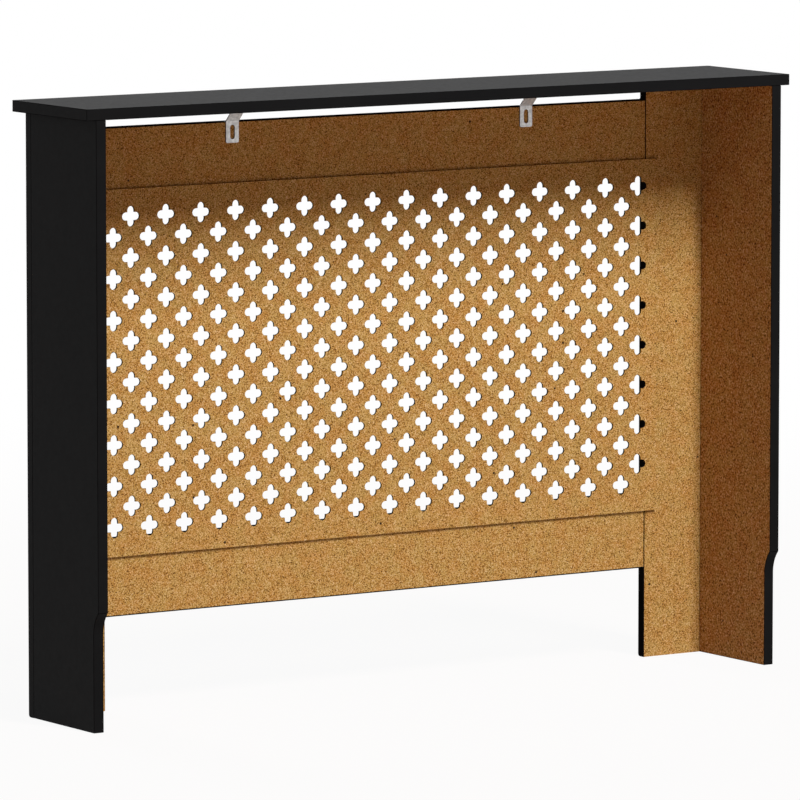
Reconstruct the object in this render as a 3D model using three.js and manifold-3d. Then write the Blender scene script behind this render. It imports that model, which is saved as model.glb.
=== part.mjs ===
// A radiator cover cabinet, built board by board in millimetres.
// +Z is up, the grille faces -Y and the open back with its two steel brackets faces +Y.
// The origin is in the middle of the footprint, on the floor.

import * as THREE from "three";
import { mergeVertices } from "three/addons/utils/BufferGeometryUtils.js";
import Module from "manifold-3d";

const wasm = await Module();
wasm.setup();

// Whole cabinet
const WIDTH = 1120;
const DEPTH = 190;
const HEIGHT = 815;
const BOARD = 15;

// Top panel
const TOP_SIDE_OVERHANG = 14;
const TOP_FRONT_OVERHANG = 10;
const TOP_CORNER_RADIUS = 3;

// Front frame: two stiles from floor to top, with a rail above and one below the grille
const STILE_WIDTH = 110;
const RAIL_HEIGHT = 105;
const HEAT_SLOT = 25;
const FLOOR_GAP = 125;
const FRONT_EDGE_RADIUS = 3;

// Cut-out at the back of each side panel, which clears the skirting board
const SKIRTING_CUT_DEPTH = 12;
const SKIRTING_CUT_HEIGHT = 128;
const SKIRTING_CUT_RADIUS = 45;

// Grille panel, behind the opening of the front frame
const GRILLE_THICKNESS = 3;
const GRILLE_SIDE_LAP = 18;
const GRILLE_TOP_LAP = 23;
const GRILLE_BOTTOM_LAP = 25;
const FOIL_SPAN = 27.5;
const FOIL_ARM_WIDTH = 11;
const FOIL_PITCH = 55;

// Steel bracket from the top rail to the underside of the top panel
const BRACKET_INSET = 200;
const BRACKET_WIDTH = 20;
const BRACKET_THICKNESS = 2;
const BRACKET_LEG = 29;
const BRACKET_LEAN = Math.PI / 4;
const BRACKET_BEND_RADIUS = 1.5;
const BRACKET_CORNER_RADIUS = 2;
const SLOT_WIDTH = 7;
const SLOT_LENGTH = 19;

// Screw that holds the bracket's upper leg
const SCREW_DIAMETER = 4;
const SCREW_LENGTH = 12;
const SCREW_POINT = 3;
const SCREW_HEAD_DIAMETER = 9;
const SCREW_HEAD_HEIGHT = 3;

// Glued dowels that join the boards
const DOWEL_DIAMETER = 8;
const DOWEL_LENGTH = 30;
const DOWEL_COVER = 5;
const RAIL_DOWEL_INSET = 25;
const SIDE_DOWEL_INSET = 100;
const TOP_DOWEL_INSET = 35;

// Clearances
const BORE_CLEARANCE = 0.3;
const BORE_END_CLEARANCE = 0.5;

// How far a cutting tool reaches past the board that it cuts
const CUT_MARGIN = 1;

// How finely curves are drawn
const CORNER_STEPS = 8;
const SCREW_HEAD_STEPS = 4;
const SKIRTING_STEPS = 10;
const SLOT_STEPS = 8;
const BEND_STEPS = 5;
const ROUND_SIDES = 12;
const MERGE_DISTANCE = 1e-3;

// Places that several pieces share
const wallY = DEPTH / 2;
const frameFrontY = TOP_FRONT_OVERHANG - DEPTH / 2;
const frameBackY = frameFrontY + BOARD;
const frameMiddleY = frameFrontY + BOARD / 2;
const underTopZ = HEIGHT - BOARD;
const carcassHalf = WIDTH / 2 - TOP_SIDE_OVERHANG;
const openingHalf = carcassHalf - STILE_WIDTH;
const topRailTopZ = underTopZ - HEAT_SLOT;
const openingTopZ = topRailTopZ - RAIL_HEIGHT;
const openingLowZ = FLOOR_GAP + RAIL_HEIGHT;
const sideDepth = wallY - frameBackY;

// Left and right are as seen from the front
const sides = [
  { side: "left", sign: -1 },
  { side: "right", sign: 1 },
];

// Directions for a piece's own axes
const X = new THREE.Vector3(1, 0, 0);
const Y = new THREE.Vector3(0, 1, 0);
const Z = new THREE.Vector3(0, 0, 1);
const FRONTWARD = Y.clone().negate();
const DOWN = Z.clone().negate();
const ONE = new THREE.Vector3(1, 1, 1);

const blackPaint = { color: "#1c1c1c", roughness: 0.5, metalness: 0 };
const rawBoard = { color: "#b18347", roughness: 0.85, metalness: 0 };
const zincSteel = { color: "#b3b5b7", roughness: 0.38, metalness: 1 };
const beech = { color: "#d3b083", roughness: 0.8, metalness: 0 };

const cabinet = new THREE.Group();

// Adds one named piece. Its three axes lie along the three given directions.
function addPiece(name, geometry, finish, position, axes = [X, Y, Z]) {
  const mesh = new THREE.Mesh(geometry, new THREE.MeshStandardMaterial(finish));
  mesh.name = name;
  mesh.position.copy(position);
  mesh.quaternion.setFromRotationMatrix(new THREE.Matrix4().makeBasis(...axes));
  mesh.updateMatrixWorld();
  cabinet.add(mesh);
  return mesh;
}

// The closed solid of a three.js geometry, moved by a matrix.
function solidOf(geometry, matrix = new THREE.Matrix4()) {
  const plain = geometry.clone().applyMatrix4(matrix);
  plain.deleteAttribute("normal");
  plain.deleteAttribute("uv");
  const merged = mergeVertices(plain, MERGE_DISTANCE);
  return new wasm.Manifold(
    new wasm.Mesh({
      numProp: 3,
      vertProperties: merged.attributes.position.array,
      triVerts: new Uint32Array(merged.index.array),
    }),
  );
}

function geometryOf(solid) {
  const { vertProperties, triVerts } = solid.getMesh();
  const indexed = new THREE.BufferGeometry();
  indexed.setAttribute("position", new THREE.BufferAttribute(Float32Array.from(vertProperties), 3));
  indexed.setIndex(new THREE.BufferAttribute(Uint32Array.from(triVerts), 1));
  const geometry = indexed.toNonIndexed();
  geometry.computeVertexNormals();
  return geometry;
}

// Cuts tools, given as geometries with matrices of the whole cabinet, out of a placed piece.
function cut(mesh, tools) {
  const toLocal = mesh.matrixWorld.clone().invert();
  let solid = solidOf(mesh.geometry);
  for (const { geometry, matrix } of tools) {
    solid = solid.subtract(solidOf(geometry, toLocal.clone().multiply(matrix)));
  }
  mesh.geometry = geometryOf(solid);
}

function placedMatrix(x, y, z, axes) {
  return new THREE.Matrix4().makeBasis(...axes).setPosition(x, y, z);
}

function extrude(shape, depth, curveSegments) {
  return new THREE.ExtrudeGeometry(shape, { depth, curveSegments, bevelEnabled: false });
}

// A rectangle with its lower left corner at x, y; cornerRadii run anticlockwise from there.
function roundedRectangle(x, y, width, height, cornerRadii) {
  const corners = [
    [x, y, 1, 1],
    [x + width, y, -1, 1],
    [x + width, y + height, -1, -1],
    [x, y + height, 1, -1],
  ];
  const points = corners.flatMap(([cornerX, cornerY, inX, inY], index) => {
    const radius = cornerRadii[index];
    const steps = radius > 0 ? CORNER_STEPS : 0;
    return Array.from({ length: steps + 1 }, (_, step) => {
      const angle = Math.PI + ((index + step / CORNER_STEPS) * Math.PI) / 2;
      const pointX = cornerX + radius * (inX + Math.cos(angle));
      const pointY = cornerY + radius * (inY + Math.sin(angle));
      return new THREE.Vector2(pointX, pointY);
    });
  });
  return new THREE.Shape(points);
}

// A board of the front frame, with one radius for each of its two long front edges.
// It is as wide as X, as thick as Y, with its front at Y = 0, and as long as Z.
function frameBoard(width, length, startRadius, endRadius) {
  const section = roundedRectangle(0, 0, width, BOARD, [startRadius, endRadius, 0, 0]);
  return extrude(section, length, CORNER_STEPS);
}

// What a round-over takes off a stile's inner front edge. It runs past the openings of the
// front only, because a rail meets the square edge between them.
function roundOvers(sign) {
  const innerX = sign * openingHalf;
  const outsideX = innerX - sign * CUT_MARGIN;
  const centreX = innerX + sign * FRONT_EDGE_RADIUS;
  const centreY = frameFrontY + FRONT_EDGE_RADIUS;
  const arc = Array.from({ length: CORNER_STEPS + 1 }, (_, step) => {
    const angle = (step * Math.PI) / (2 * CORNER_STEPS);
    const pointX = centreX - sign * FRONT_EDGE_RADIUS * Math.sin(angle);
    return new THREE.Vector2(pointX, centreY - FRONT_EDGE_RADIUS * Math.cos(angle));
  });
  const pastFront = frameFrontY - CUT_MARGIN;
  const waste = new THREE.Shape([
    new THREE.Vector2(outsideX, pastFront),
    new THREE.Vector2(centreX, pastFront),
    ...arc,
    new THREE.Vector2(outsideX, centreY),
  ]);
  const openZones = [
    [-CUT_MARGIN, FLOOR_GAP],
    [openingLowZ, openingTopZ],
    [topRailTopZ, underTopZ + CUT_MARGIN],
  ];
  return openZones.map(([lowZ, highZ]) => ({
    geometry: extrude(waste, highZ - lowZ, CORNER_STEPS),
    matrix: placedMatrix(0, 0, lowZ, [X, Y, Z]),
  }));
}

function topPanelGeometry() {
  const radii = [TOP_CORNER_RADIUS, TOP_CORNER_RADIUS, 0, 0];
  return extrude(roundedRectangle(-WIDTH / 2, -DEPTH / 2, WIDTH, DEPTH, radii), BOARD, CORNER_STEPS);
}

// Side panel, drawn from its front edge to the wall. Above the skirting cut-out,
// an arc runs out to the back edge.
function sidePanelGeometry() {
  const cutY = sideDepth - SKIRTING_CUT_DEPTH;
  const sweep = Math.acos(1 - SKIRTING_CUT_DEPTH / SKIRTING_CUT_RADIUS);
  const outline = new THREE.Shape();
  outline.moveTo(0, 0);
  outline.lineTo(cutY, 0);
  const centreY = cutY + SKIRTING_CUT_RADIUS;
  outline.absarc(centreY, SKIRTING_CUT_HEIGHT, SKIRTING_CUT_RADIUS, Math.PI, Math.PI - sweep, true);
  outline.lineTo(sideDepth, underTopZ);
  outline.lineTo(0, underTopZ);
  outline.closePath();
  return extrude(outline, BOARD, SKIRTING_STEPS);
}

// One four-lobed opening of the grille. With hundreds of openings, each lobe end is one
// corner at its true reach, between the four inner corners.
function foil(centreX, centreY) {
  const reach = FOIL_SPAN / 2;
  const waist = Math.hypot(FOIL_ARM_WIDTH / 2, FOIL_ARM_WIDTH / 2);
  const lobes = 4;
  const points = [];
  for (let corner = 0; corner < 2 * lobes; corner += 1) {
    const radius = corner % 2 ? waist : reach;
    const angle = (corner * Math.PI) / lobes;
    points.push(new THREE.Vector2(centreX + radius * Math.cos(angle), centreY + radius * Math.sin(angle)));
  }
  return new THREE.Path(points);
}

// How many staggered lines of openings fill a span, with the outer tips on its two ends.
function staggeredLines(span) {
  const lines = 2 * Math.round(span / FOIL_PITCH);
  const step = (span - FOIL_SPAN) / (lines - 1);
  return Array.from({ length: lines }, (_, line) => FOIL_SPAN / 2 + line * step);
}

// The grille, drawn from the lower left corner of the frame's opening. The openings lie on
// every second crossing of the columns and rows, so neighbouring columns are staggered.
function grilleGeometry() {
  const openingWidth = 2 * openingHalf;
  const openingHeight = openingTopZ - openingLowZ;
  const panelWidth = openingWidth + 2 * GRILLE_SIDE_LAP;
  const panelHeight = openingHeight + GRILLE_TOP_LAP + GRILLE_BOTTOM_LAP;
  const square = [0, 0, 0, 0];
  const panel = roundedRectangle(-GRILLE_SIDE_LAP, -GRILLE_BOTTOM_LAP, panelWidth, panelHeight, square);
  const rows = staggeredLines(openingHeight);
  staggeredLines(openingWidth).forEach((x, column) => {
    const staggered = rows.filter((_, row) => (row + column) % 2 === 1);
    staggered.forEach((z) => panel.holes.push(foil(x, z)));
  });
  return extrude(panel, GRILLE_THICKNESS, 1);
}

// The outline of a strip that follows straight runs with rounded bends between them.
function bentStrip(corners, thickness, bendRadius) {
  const centreRadius = bendRadius + thickness / 2;
  const line = [];
  corners.forEach((corner, index) => {
    const before = corners[index - 1];
    const after = corners[index + 1];
    const inward = before && corner.clone().sub(before).normalize();
    const outward = after && after.clone().sub(corner).normalize();
    if (!before || !after) {
      line.push({ point: corner, heading: (outward ?? inward).angle() });
      return;
    }
    const turn = outward.angle() - inward.angle();
    const setback = centreRadius * Math.tan(Math.abs(turn) / 2);
    const side = new THREE.Vector2(-inward.y, inward.x).multiplyScalar(Math.sign(turn));
    const start = corner.clone().addScaledVector(inward, -setback);
    const centre = start.clone().addScaledVector(side, centreRadius);
    for (let step = 0; step <= BEND_STEPS; step += 1) {
      const angle = (turn * step) / BEND_STEPS;
      line.push({ point: start.clone().rotateAround(centre, angle), heading: inward.angle() + angle });
    }
  });
  const offset = ({ point, heading }, distance) =>
    new THREE.Vector2(point.x - distance * Math.sin(heading), point.y + distance * Math.cos(heading));
  const left = line.map((place) => offset(place, thickness / 2));
  const right = line.map((place) => offset(place, -thickness / 2));
  return new THREE.Shape([...right, ...left.reverse()]);
}

// A slot tool through either leg, with its length along Y.
function slotGeometry() {
  const radius = SLOT_WIDTH / 2;
  const run = SLOT_LENGTH / 2 - radius;
  const outline = new THREE.Shape();
  outline.absarc(0, run, radius, 0, Math.PI, false);
  outline.absarc(0, -run, radius, Math.PI, 2 * Math.PI, false);
  outline.closePath();
  return extrude(outline, 2 * BRACKET_THICKNESS, SLOT_STEPS).translate(0, 0, -BRACKET_THICKNESS);
}

// Places on the bracket, with Y and Z as in the cabinet and X from its own middle
const bracketLowZ = topRailTopZ - BRACKET_LEG;
const bracketWebRun = (underTopZ - BRACKET_THICKNESS / 2 - topRailTopZ) * Math.tan(BRACKET_LEAN);
const bracketUpperY = frameBackY + BRACKET_THICKNESS / 2 + bracketWebRun;
const bracketEndY = bracketUpperY + BRACKET_LEG;
const lowerSlot = {
  y: frameBackY + BRACKET_THICKNESS / 2,
  z: topRailTopZ - BRACKET_LEG / 2,
  axes: [X, Z, FRONTWARD],
};
const upperSlot = {
  y: bracketUpperY + BRACKET_LEG / 2,
  z: underTopZ - BRACKET_THICKNESS / 2,
  axes: [X, Y, Z],
};

// A bracket is one strip, bent twice. Its lower leg lies on the back of the top rail, its web
// leans back across the heat slot, and its upper leg lies under the top panel.
function bracketGeometry() {
  const halfThickness = BRACKET_THICKNESS / 2;
  const corners = [
    new THREE.Vector2(frameBackY + halfThickness, bracketLowZ),
    new THREE.Vector2(frameBackY + halfThickness, topRailTopZ),
    new THREE.Vector2(bracketUpperY, underTopZ - halfThickness),
    new THREE.Vector2(bracketEndY, underTopZ - halfThickness),
  ];
  const sideView = extrude(bentStrip(corners, BRACKET_THICKNESS, BRACKET_BEND_RADIUS), BRACKET_WIDTH, 1);
  const alongX = placedMatrix(-BRACKET_WIDTH / 2, 0, 0, [Y, Z, X]);
  let solid = solidOf(sideView, alongX);

  const height = underTopZ - bracketLowZ;
  const lowCorners = [BRACKET_CORNER_RADIUS, BRACKET_CORNER_RADIUS, 0, 0];
  const backView = roundedRectangle(-BRACKET_WIDTH / 2, bracketLowZ, BRACKET_WIDTH, height, lowCorners);
  const throughDepth = placedMatrix(0, wallY, 0, [X, Z, FRONTWARD]);
  solid = solid.intersect(solidOf(extrude(backView, DEPTH, CORNER_STEPS), throughDepth));

  const length = bracketEndY - frameBackY;
  const endCorners = [0, 0, BRACKET_CORNER_RADIUS, BRACKET_CORNER_RADIUS];
  const planView = roundedRectangle(-BRACKET_WIDTH / 2, frameBackY, BRACKET_WIDTH, length, endCorners);
  solid = solid.intersect(solidOf(extrude(planView, HEIGHT, CORNER_STEPS)));
  return geometryOf(solid);
}

// A wood screw that points up Z from the underside of its pan head.
function screwGeometry() {
  const headRadius = SCREW_HEAD_DIAMETER / 2;
  const radius = SCREW_DIAMETER / 2;
  const profile = [new THREE.Vector2(0, -SCREW_HEAD_HEIGHT)];
  for (let step = 1; step <= SCREW_HEAD_STEPS; step += 1) {
    const angle = (step * Math.PI) / (2 * SCREW_HEAD_STEPS);
    const drop = SCREW_HEAD_HEIGHT * Math.cos(angle);
    profile.push(new THREE.Vector2(headRadius * Math.sin(angle), step < SCREW_HEAD_STEPS ? -drop : 0));
  }
  profile.push(new THREE.Vector2(radius, 0));
  profile.push(new THREE.Vector2(radius, SCREW_LENGTH - SCREW_POINT));
  profile.push(new THREE.Vector2(0, SCREW_LENGTH));
  return new THREE.LatheGeometry(profile, ROUND_SIDES).rotateX(Math.PI / 2);
}

// Every dowel: its name, the middle of its length, and the direction that it points in.
// In a board's face it stops short of the far face by the cover.
const faceDepth = BOARD - DOWEL_COVER - BORE_END_CLEARANCE;
const faceShift = DOWEL_LENGTH / 2 - faceDepth;
const dowels = [];

function addDowel(name, x, y, z, axis) {
  dowels.push({ name, position: new THREE.Vector3(x, y, z), axis });
}

for (const { side, sign } of sides) {
  for (const [rail, lowZ] of [["top", openingTopZ], ["bottom", FLOOR_GAP]]) {
    const heights = { lower: lowZ + RAIL_DOWEL_INSET, upper: lowZ + RAIL_HEIGHT - RAIL_DOWEL_INSET };
    for (const [level, z] of Object.entries(heights)) {
      addDowel(`dowel_${rail}_rail_${side}_${level}`, sign * openingHalf, frameMiddleY, z, X);
    }
  }
  const sideMiddleX = sign * (carcassHalf - BOARD / 2);
  const heights = { low: SIDE_DOWEL_INSET, middle: underTopZ / 2, high: underTopZ - SIDE_DOWEL_INSET };
  for (const [level, z] of Object.entries(heights)) {
    addDowel(`dowel_stile_side_${side}_${level}`, sideMiddleX, frameBackY + faceShift, z, Y);
  }
  const topDowelZ = underTopZ - faceShift;
  addDowel(`dowel_top_side_${side}_front`, sideMiddleX, frameBackY + TOP_DOWEL_INSET, topDowelZ, Z);
  addDowel(`dowel_top_side_${side}_back`, sideMiddleX, wallY - TOP_DOWEL_INSET, topDowelZ, Z);
  const stileMiddleX = sign * (openingHalf + STILE_WIDTH / 2);
  addDowel(`dowel_top_stile_${side}`, stileMiddleX, frameMiddleY, topDowelZ, Z);
}

function cylinderAlong(radius, length) {
  return new THREE.CylinderGeometry(radius, radius, length, ROUND_SIDES);
}

const dowelBore = cylinderAlong(
  DOWEL_DIAMETER / 2 + BORE_CLEARANCE,
  DOWEL_LENGTH + 2 * BORE_END_CLEARANCE,
);

// The bores of the dowels whose names start with one of the given words.
function dowelBores(...starts) {
  return dowels
    .filter(({ name }) => starts.some((start) => name.startsWith(start)))
    .map(({ position, axis }) => {
      const turn = new THREE.Quaternion().setFromUnitVectors(Y, axis);
      return { geometry: dowelBore, matrix: new THREE.Matrix4().compose(position, turn, ONE) };
    });
}

// Brackets stand at the same distance from both ends of the opening
const brackets = sides.map(({ side, sign }) => ({ side, x: sign * (openingHalf - BRACKET_INSET) }));

// Pilot bores for the screws, drawn to both sides of the top panel's underside.
const pilotDepth = SCREW_LENGTH - BRACKET_THICKNESS + BORE_END_CLEARANCE;
const pilotBores = brackets.map(({ x }) => ({
  geometry: cylinderAlong(SCREW_DIAMETER / 2 + BORE_CLEARANCE, 2 * pilotDepth),
  matrix: placedMatrix(x, upperSlot.y, underTopZ, [X, Z, FRONTWARD]),
}));

// Boards
const topPlace = new THREE.Vector3(0, 0, underTopZ);
const topPanel = addPiece("top_panel", topPanelGeometry(), blackPaint, topPlace);
cut(topPanel, [...dowelBores("dowel_top_side", "dowel_top_stile"), ...pilotBores]);

for (const { side, sign } of sides) {
  const sidePlace = new THREE.Vector3(sign > 0 ? carcassHalf - BOARD : -carcassHalf, frameBackY, 0);
  const sidePanel = addPiece(`side_panel_${side}`, sidePanelGeometry(), blackPaint, sidePlace, [Y, Z, X]);
  cut(sidePanel, dowelBores(`dowel_stile_side_${side}`, `dowel_top_side_${side}`));

  const stilePlace = new THREE.Vector3(sign > 0 ? openingHalf : -carcassHalf, frameFrontY, 0);
  const outerRadii = sign > 0 ? [0, FRONT_EDGE_RADIUS] : [FRONT_EDGE_RADIUS, 0];
  const stileBoard = frameBoard(STILE_WIDTH, underTopZ, ...outerRadii);
  const stile = addPiece(`stile_${side}`, stileBoard, rawBoard, stilePlace);
  const railDowels = [`dowel_top_rail_${side}`, `dowel_bottom_rail_${side}`];
  const stileDowels = [...railDowels, `dowel_stile_side_${side}`, `dowel_top_stile_${side}`];
  cut(stile, [...roundOvers(sign), ...dowelBores(...stileDowels)]);
}

for (const [rail, topZ] of [["top", topRailTopZ], ["bottom", openingLowZ]]) {
  const place = new THREE.Vector3(-openingHalf, frameFrontY, topZ);
  const geometry = frameBoard(RAIL_HEIGHT, 2 * openingHalf, FRONT_EDGE_RADIUS, FRONT_EDGE_RADIUS);
  const board = addPiece(`${rail}_rail`, geometry, rawBoard, place, [DOWN, Y, X]);
  cut(board, dowelBores(`dowel_${rail}_rail`));
}

const grillePlace = new THREE.Vector3(-openingHalf, frameBackY + GRILLE_THICKNESS, openingLowZ);
addPiece("grille_panel", grilleGeometry(), rawBoard, grillePlace, [X, Z, FRONTWARD]);

// Dowels
for (const { name, position, axis } of dowels) {
  const dowel = addPiece(name, cylinderAlong(DOWEL_DIAMETER / 2, DOWEL_LENGTH), beech, position);
  dowel.quaternion.setFromUnitVectors(Y, axis);
}

// Brackets with the screws of their upper legs; the lower slots are empty
for (const { side, x } of brackets) {
  const bracket = addPiece(`bracket_${side}`, bracketGeometry(), zincSteel, new THREE.Vector3(x, 0, 0));
  const slots = [lowerSlot, upperSlot].map(({ y, z, axes }) => placedMatrix(x, y, z, axes));
  cut(bracket, slots.map((matrix) => ({ geometry: slotGeometry(), matrix })));

  const screwPlace = new THREE.Vector3(x, upperSlot.y, underTopZ - BRACKET_THICKNESS);
  addPiece(`bracket_screw_${side}`, screwGeometry(), zincSteel, screwPlace);
}

export default cabinet;
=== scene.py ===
"""A radiator cover cabinet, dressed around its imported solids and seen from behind."""

import math

import bpy
import numpy as np
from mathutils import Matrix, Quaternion, Vector


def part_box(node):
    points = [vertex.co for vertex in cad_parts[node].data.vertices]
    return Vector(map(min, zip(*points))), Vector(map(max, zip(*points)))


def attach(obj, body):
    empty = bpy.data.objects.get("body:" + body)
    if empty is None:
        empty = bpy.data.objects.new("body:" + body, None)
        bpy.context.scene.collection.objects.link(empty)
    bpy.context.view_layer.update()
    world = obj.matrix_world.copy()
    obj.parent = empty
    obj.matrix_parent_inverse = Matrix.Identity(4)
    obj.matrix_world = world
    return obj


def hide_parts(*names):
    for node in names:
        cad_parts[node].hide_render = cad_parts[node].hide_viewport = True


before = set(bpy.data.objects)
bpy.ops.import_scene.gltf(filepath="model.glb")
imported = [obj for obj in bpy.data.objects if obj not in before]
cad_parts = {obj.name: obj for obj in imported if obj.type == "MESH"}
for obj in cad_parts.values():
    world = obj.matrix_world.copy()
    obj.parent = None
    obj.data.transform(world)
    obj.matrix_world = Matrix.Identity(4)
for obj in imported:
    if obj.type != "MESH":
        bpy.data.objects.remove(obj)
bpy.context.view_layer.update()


# ---------------------------------------------------------------------------------------------
# Top panel: a 15 mm fibreboard shelf that stands past the front and both sides, with its two
# front corners rounded. It is sprayed satin black, with matt arrises, and stays raw on its
# underside inside the cabinet, where the coarse board's darker, redder tans are painted shade.
# Dowels hold it on the side panels and stiles.

MM = 0.001
ARRIS = 0.7 * MM
ARRIS_STEPS = 3
SHARP_ANGLE = math.radians(40)
CORNER_STEPS = 6
TOP_CORNER_RADIUS = 3 * MM
PAINTED, RAW, EDGE = 0, 1, 2

PAINT_DEEP = (0.0054, 0.0054, 0.0057, 1)
PAINT_PALE = (0.0085, 0.0085, 0.0088, 1)
PAINT_PEEL = 1.6 * MM
PEEL_DEPTH = 0.03 * MM
PAINT_STREAK = 0.6
STREAK_STRETCH = (6, 70, 40)
PATCHES_PER_METRE = 9
PATCH_SHARE = 0.5
TONE_RAMP = (0.3, 1.0)
MIST_PER_METRE = 160
PAINT_SHEEN_LEVEL = 0.038
EDGE_SHEEN_LEVEL = 0.0

BOARD_TAN = (0.492, 0.243, 0.050, 1)
BOARD_OCHRE = (0.500, 0.296, 0.074, 1)
# Coarse tans: darker, redder board tans, painted shade for the inner faces of sides and top.
COARSE_SHADED_TAN = (0.438, 0.192, 0.045, 1)
COARSE_SHADED_OCHRE = (0.452, 0.238, 0.062, 1)
CHIP_BROWN = (0.070, 0.018, 0.001, 1)
CHIP_PALE = (0.800, 0.600, 0.360, 1)
KNOT_BROWN = (0.022, 0.007, 0.003, 1)
CHIP_SIZE = 1.5 * MM
COARSE_CHIP_SIZE = 2.6 * MM
BROWN_RAMP = (0.27, 0.51)
PALE_RAMP = (0.50, 0.86)
CLOUDS_PER_METRE = 42
CLOUD_RAMP = (0.3, 0.7)
KNOTS_PER_METRE = 24.0
KNOT_RADIUS = 2.2 * MM
KNOT_CORE = 0.6
NAP_FINENESS = 2.7
NAP_DEPTH = 0.08 * MM
RAW_ROUGHNESS = 0.82
RAW_SHEEN_LEVEL = 0.15


def add(tree, kind, sockets=None, **settings):
    """One shader node. Each socket takes a value, or the output that feeds it."""
    made = tree.nodes.new("ShaderNode" + kind)
    for key, value in settings.items():
        setattr(made, key, value)
    for key, value in (sockets or {}).items():
        if isinstance(value, bpy.types.NodeSocket):
            tree.links.new(value, made.inputs[key])
        else:
            made.inputs[key].default_value = value
    return made


def sums(tree, operation, first, second=0.0):
    """One operation on two numbers, as an output."""
    return add(tree, "Math", {0: first, 1: second}, operation=operation).outputs[0]


def step_between(tree, value, low, high):
    """0 below low and 1 above high, with a smooth step between them."""
    sockets = {"Value": value, "From Min": low, "From Max": high}
    return add(tree, "MapRange", sockets, interpolation_type="SMOOTHSTEP").outputs["Result"]


def blend(tree, share, first, second):
    """The first colour at share 0 and the second at share 1."""
    return add(tree, "Mix", {0: share, 6: first, 7: second}, data_type="RGBA").outputs[2]


def new_group(name, inputs, outputs):
    """An empty node group with named inputs, (name, kind, value), and outputs, (name, kind)."""
    tree = bpy.data.node_groups.new(name, "ShaderNodeTree")
    for label, kind, value in inputs:
        socket = tree.interface.new_socket(label, in_out="INPUT", socket_type="NodeSocket" + kind)
        socket.default_value = value
    for label, kind in outputs:
        tree.interface.new_socket(label, in_out="OUTPUT", socket_type="NodeSocket" + kind)
    return tree, tree.nodes.new("NodeGroupInput").outputs, tree.nodes.new("NodeGroupOutput").inputs


def new_finish(name):
    """A new material with an empty tree, the output's surface socket and the piece's own place."""
    material = bpy.data.materials.new(name)
    material.use_nodes = True
    tree = material.node_tree
    tree.nodes.clear()
    surface = tree.nodes.new("ShaderNodeOutputMaterial").inputs["Surface"]
    return material, tree, surface, add(tree, "TexCoord").outputs["Object"]


def use_group(tree, group, sockets):
    """The outputs of a group's node inside a material."""
    return add(tree, "Group", sockets, node_tree=group).outputs


# Sprayed paint: Tone drifts in faint streaks, Mist is the fine variation of its gloss, and
# Peel is the orange-peel height.
paint_group, g_in, g_out = new_group(
    "sprayed paint",
    [("Place", "Vector", (0, 0, 0)), ("Peel Size", "Float", 0.001), ("Streak", "Float", 1.0)],
    [("Tone", "Float"), ("Mist", "Float"), ("Peel", "Float")],
)
streaked = add(paint_group, "Mapping", {"Vector": g_in["Place"], "Scale": STREAK_STRETCH})
streak = add(paint_group, "TexNoise", {"Vector": streaked.outputs[0], "Scale": 1, "Detail": 3})
patch = add(paint_group, "TexNoise", {"Vector": g_in["Place"], "Scale": PATCHES_PER_METRE, "Detail": 2})
drift = sums(paint_group, "MULTIPLY", streak.outputs[0], g_in["Streak"])
tone = sums(paint_group, "MULTIPLY_ADD", patch.outputs[0], PATCH_SHARE)
paint_group.links.new(drift, tone.node.inputs[2])
paint_group.links.new(step_between(paint_group, tone, *TONE_RAMP), g_out["Tone"])
peel_scale = sums(paint_group, "DIVIDE", 1.0, g_in["Peel Size"])
peel = add(paint_group, "TexNoise", {"Vector": g_in["Place"], "Scale": peel_scale, "Detail": 1.5})
paint_group.links.new(peel.outputs[0], g_out["Peel"])
mist = add(paint_group, "TexNoise", {"Vector": g_in["Place"], "Scale": MIST_PER_METRE, "Detail": 4})
paint_group.links.new(mist.outputs[0], g_out["Mist"])


def black_paint(name, sheen_level, mist_low, mist_high):
    """Sprayed black paint, whose roughness runs between the two given values."""
    material, tree, surface, place = new_finish(name)
    sockets = {"Place": place, "Peel Size": PAINT_PEEL, "Streak": PAINT_STREAK}
    coat = use_group(tree, paint_group, sockets)
    gloss = add(tree, "MapRange", {"Value": coat["Mist"], "To Min": mist_low, "To Max": mist_high})
    sockets = {"Strength": 0.25, "Distance": PEEL_DEPTH, "Height": coat["Peel"]}
    bump = add(tree, "Bump", sockets)
    sockets = {
        "Base Color": blend(tree, coat["Tone"], PAINT_DEEP, PAINT_PALE),
        "Roughness": gloss.outputs["Result"],
        "Specular IOR Level": sheen_level,
        "Normal": bump.outputs["Normal"],
    }
    tree.links.new(add(tree, "BsdfPrincipled", sockets).outputs[0], surface)
    return material


painted = black_paint("satin_black_paint", PAINT_SHEEN_LEVEL, 0.48, 0.62)
edge_paint = black_paint("matt_black_edge_paint", EDGE_SHEEN_LEVEL, 0.75, 0.9)

# Fibreboard: Chip is the pressed speckle of pale and brown chips, Cloud its slow drift over the
# board, Knot the sparse round dark bits, and Nap the height of the raw surface.
fibre_group, g_in, g_out = new_group(
    "pressed fibres",
    [("Place", "Vector", (0, 0, 0)), ("Chip Size", "Float", 0.002), ("Knot Radius", "Float", 0.001)],
    [("Chip", "Float"), ("Cloud", "Float"), ("Knot", "Float"), ("Nap", "Float")],
)
chip_scale = sums(fibre_group, "DIVIDE", 1.0, g_in["Chip Size"])
chips = add(
    fibre_group,
    "TexNoise",
    {"Vector": g_in["Place"], "Scale": chip_scale, "Detail": 1, "Roughness": 0.6},
)
fibre_group.links.new(chips.outputs[0], g_out["Chip"])
cloud = add(fibre_group, "TexNoise", {"Vector": g_in["Place"], "Scale": CLOUDS_PER_METRE, "Detail": 3})
fibre_group.links.new(cloud.outputs[0], g_out["Cloud"])
knots = add(fibre_group, "TexVoronoi", {"Vector": g_in["Place"], "Scale": KNOTS_PER_METRE})
reach = sums(fibre_group, "MULTIPLY", g_in["Knot Radius"], KNOTS_PER_METRE)
inner = sums(fibre_group, "MULTIPLY", reach, KNOT_CORE)
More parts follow.
